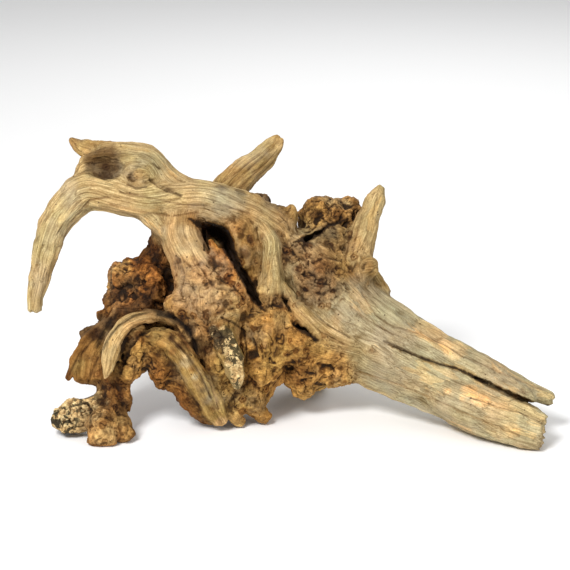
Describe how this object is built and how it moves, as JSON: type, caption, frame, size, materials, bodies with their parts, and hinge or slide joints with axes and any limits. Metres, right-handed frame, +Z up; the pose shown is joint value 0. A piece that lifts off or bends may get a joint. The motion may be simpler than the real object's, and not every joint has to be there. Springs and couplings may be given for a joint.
{
  "type": "piece of driftwood",
  "caption": "Weathered piece of driftwood: a root crown with a split trunk, a drooping arched branch, broken stubs, rough burls and root feet it rests on.",
  "frame": {"origin": "centre of the bounding box on the ground plane the feet rest on", "axes": "+X along the length towards the split end of the trunk, +Y away from the side that was pictured, +Z up"},
  "size_m": [0.5343, 0.2285, 0.2766],
  "materials": {
    "weathered_wood": "bare, dry, sun-bleached and rough, with dark brown burls"
  },
  "bodies": {
    "root": {"driftwood": "weathered_wood"}
  },
  "joints": []
}
